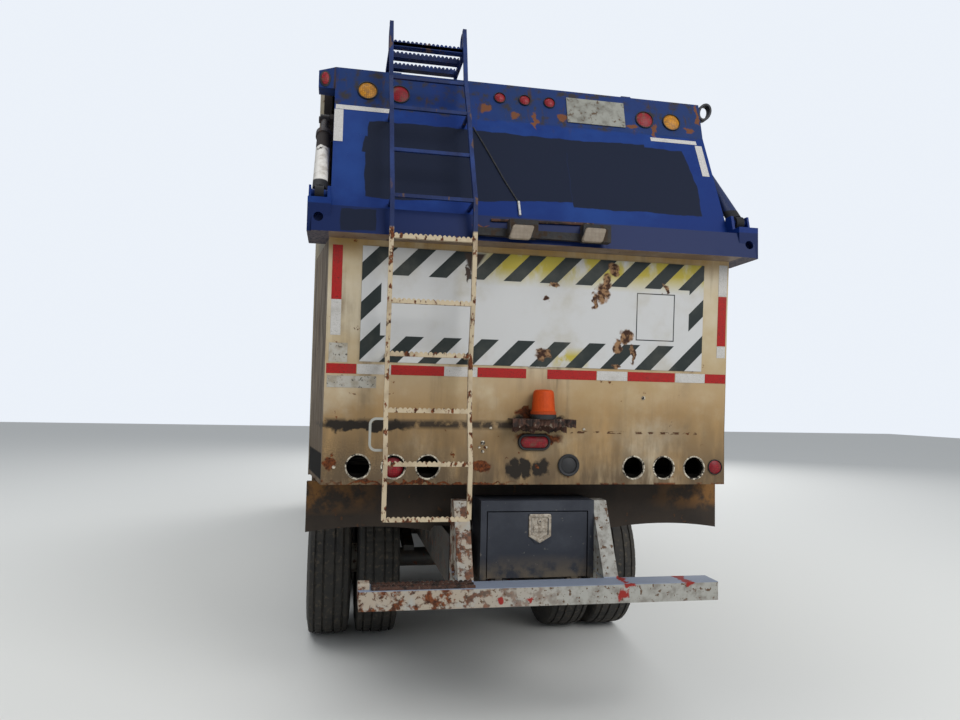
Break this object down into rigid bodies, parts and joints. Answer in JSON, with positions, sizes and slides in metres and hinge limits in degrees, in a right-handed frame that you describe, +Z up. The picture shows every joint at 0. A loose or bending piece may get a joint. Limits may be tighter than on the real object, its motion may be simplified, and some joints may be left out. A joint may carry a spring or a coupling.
{
  "type": "front-loading garbage truck",
  "caption": "Front-loading garbage truck with lifting tailgate, hollow refuse body, over-cab lift arms with forks, steered front wheels and twin rear wheels.",
  "frame": {"origin": "on the ground under the centre of the truck's bounding box", "axes": "+Y forward, towards the cab; +X to the truck's right; +Z up"},
  "size_m": [2.9, 9.8479, 3.9031],
  "materials": {
    "body_white": "weathered gloss",
    "body_blue": "weathered gloss",
    "frame_paint": "satin",
    "black_paint": "satin",
    "rusty_paint": "rusty",
    "rim_white": "satin",
    "bare_steel": "worn",
    "spring_steel": "dull",
    "cast_iron": "rough",
    "aluminium": "dull",
    "chrome": "polished",
    "tyre": "dusty",
    "glass": "clear",
    "lamp_lens": "gloss",
    "seat_fabric": "woven",
    "black_plastic": "matte"
  },
  "bodies": {
    "chassis": {"chassis_rails": "frame_paint", "cross_members": "frame_paint", "arm_pedestals": "frame_paint", "tow_eyes": "frame_paint", "engine": "cast_iron", "side_tanks": "aluminium", "front_axle": "frame_paint", "rear_axles": "frame_paint", "rear_springs": "spring_steel", "body_floor": "body_white", "body_sides": "body_white", "body_roof": "body_white", "hopper": "body_white", "rear_sump": "rusty_paint", "underride_guard": "body_white", "toolbox": "black_paint", "cab_shell": "body_white", "cab_glass": "glass", "cab_seats": "seat_fabric", "dashboard": "black_plastic", "front_bumper": "black_paint", "mirrors": "black_plastic"},
    "tailgate": {"tailgate": "body_white", "ladder": "body_blue", "rear_lamps": "lamp_lens", "beacon": "lamp_lens", "work_lights": "black_paint"},
    "tailgate_barrels": {"tailgate_barrels": "body_white"},
    "tailgate_rods": {"tailgate_rods": "chrome"},
    "lift_arms": {"lift_arms": "body_blue"},
    "forks": {"forks": "bare_steel"},
    "lift_barrels": {"lift_barrels": "body_white"},
    "lift_rods": {"lift_rods": "chrome"},
    "fork_barrels": {"fork_barrels": "body_white"},
    "fork_rods": {"fork_rods": "chrome"},
    "hopper_door": {"hopper_door": "body_blue"},
    "packer_blade": {"packer_blade": "bare_steel"},
    "cab_door_right": {"cab_door_right": "body_white", "door_glass_right": "glass"},
    "cab_door_left": {"cab_door_left": "body_white", "door_glass_left": "glass"},
    "toolbox_door": {"toolbox_door": "black_paint"},
    "knuckle_right": {"knuckle_right": "cast_iron"},
    "knuckle_left": {"knuckle_left": "cast_iron"},
    "front_wheel_right": {"front_tyre_right": "tyre", "front_rim_right": "rim_white"},
    "middle_wheels_right": {"middle_tyres_right": "tyre", "middle_rims_right": "rim_white"},
    "rear_wheels_right": {"rear_tyres_right": "tyre", "rear_rims_right": "rim_white"},
    "front_wheel_left": {"front_tyre_left": "tyre", "front_rim_left": "rim_white"},
    "middle_wheels_left": {"middle_tyres_left": "tyre", "middle_rims_left": "rim_white"},
    "rear_wheels_left": {"rear_tyres_left": "tyre", "rear_rims_left": "rim_white"}
  },
  "joints": [
    {"name": "tailgate_lift", "type": "hinge", "parent": "chassis", "child": "tailgate", "pos_m": [0, -3.964, 3.745], "axis": [-1, 0, 0], "range_deg": [0, 85]},
    {"name": "tailgate_barrel_pin", "type": "hinge", "parent": "tailgate", "child": "tailgate_barrels", "pos_m": [0, -4.674, 2.8], "axis": [-1, 0, 0], "range_deg": [-1, 10.73]},
    {"name": "tailgate_rod_slide", "type": "slide", "parent": "tailgate_barrels", "child": "tailgate_rods", "axis": [0, 0.6856, 0.728], "range_m": [-0.002, 0.475]},
    {"name": "arm_lift", "type": "hinge", "parent": "chassis", "child": "lift_arms", "pos_m": [0, 2.029, 2], "axis": [1, 0, 0], "range_deg": [0, 113]},
    {"name": "lift_barrel_pin", "type": "hinge", "parent": "chassis", "child": "lift_barrels", "pos_m": [0, 0.429, 1.345], "axis": [1, 0, 0], "range_deg": [-2.39, 0.2]},
    {"name": "lift_rod_slide", "type": "slide", "parent": "lift_barrels", "child": "lift_rods", "axis": [0, 0.8607, 0.5091], "range_m": [-0.6804, 0.002]},
    {"name": "fork_tilt", "type": "hinge", "parent": "lift_arms", "child": "forks", "pos_m": [0, 4.719, 1.3], "axis": [-1, 0, 0], "range_deg": [-135, 0]},
    {"name": "fork_barrel_pin", "type": "hinge", "parent": "lift_arms", "child": "fork_barrels", "pos_m": [0, 4.769, 2.35], "axis": [-1, 0, 0], "range_deg": [-0.2, 6.52]},
    {"name": "fork_rod_slide", "type": "slide", "parent": "fork_barrels", "child": "fork_rods", "axis": [0, 0.0873, -0.9962], "range_m": [-0.4697, 0.002]},
    {"name": "hopper_door_slide", "type": "slide", "parent": "chassis", "child": "hopper_door", "axis": [0, -1, 0], "range_m": [0, 1.55]},
    {"name": "packer_slide", "type": "slide", "parent": "chassis", "child": "packer_blade", "axis": [0, -1, 0], "range_m": [0, 5.2]},
    {"name": "cab_door_right_hinge", "type": "hinge", "parent": "chassis", "child": "cab_door_right", "pos_m": [1.11, 4.229, 1.3], "axis": [0, 0, 1], "range_deg": [0, 70]},
    {"name": "cab_door_left_hinge", "type": "hinge", "parent": "chassis", "child": "cab_door_left", "pos_m": [-1.11, 4.229, 1.3], "axis": [0, 0, -1], "range_deg": [0, 70]},
    {"name": "toolbox_door_hinge", "type": "hinge", "parent": "chassis", "child": "toolbox_door", "pos_m": [0, -4.611, 0.805], "axis": [1, 0, 0], "range_deg": [0, 70]},
    {"name": "steer_right", "type": "hinge", "parent": "chassis", "child": "knuckle_right", "pos_m": [0.9, 2.826, 0.538], "axis": [0, 0, 1], "range_deg": [-35, 35]},
    {"name": "steer_left", "type": "hinge", "parent": "chassis", "child": "knuckle_left", "pos_m": [-0.9, 2.826, 0.538], "axis": [0, 0, 1], "range_deg": [-35, 35]},
    {"name": "front_wheel_right_roll", "type": "hinge", "parent": "knuckle_right", "child": "front_wheel_right", "pos_m": [1.03, 2.826, 0.538], "axis": [1, 0, 0], "continuous": true},
    {"name": "middle_wheels_right_roll", "type": "hinge", "parent": "chassis", "child": "middle_wheels_right", "pos_m": [1.065, -1.304, 0.538], "axis": [1, 0, 0], "continuous": true},
    {"name": "rear_wheels_right_roll", "type": "hinge", "parent": "chassis", "child": "rear_wheels_right", "pos_m": [1.065, -2.674, 0.538], "axis": [1, 0, 0], "continuous": true},
    {"name": "front_wheel_left_roll", "type": "hinge", "parent": "knuckle_left", "child": "front_wheel_left", "pos_m": [-1.03, 2.826, 0.538], "axis": [1, 0, 0], "continuous": true},
    {"name": "middle_wheels_left_roll", "type": "hinge", "parent": "chassis", "child": "middle_wheels_left", "pos_m": [-1.065, -1.304, 0.538], "axis": [1, 0, 0], "continuous": true},
    {"name": "rear_wheels_left_roll", "type": "hinge", "parent": "chassis", "child": "rear_wheels_left", "pos_m": [-1.065, -2.674, 0.538], "axis": [1, 0, 0], "continuous": true}
  ],
  "couplings": [
    {"joint": "tailgate_barrel_pin", "follows": "tailgate_lift", "ratio": 0.12018},
    {"joint": "tailgate_rod_slide", "follows": "tailgate_lift", "m_per_rad": 0.31749},
    {"joint": "lift_barrel_pin", "follows": "arm_lift", "ratio": -0.019381},
    {"joint": "lift_rod_slide", "follows": "arm_lift", "m_per_rad": -0.34397},
    {"joint": "fork_barrel_pin", "follows": "fork_tilt", "ratio": -0.046846},
    {"joint": "fork_rod_slide", "follows": "fork_tilt", "m_per_rad": 0.1985},
    {"joint": "steer_left", "follows": "steer_right", "ratio": 1}
  ]
}
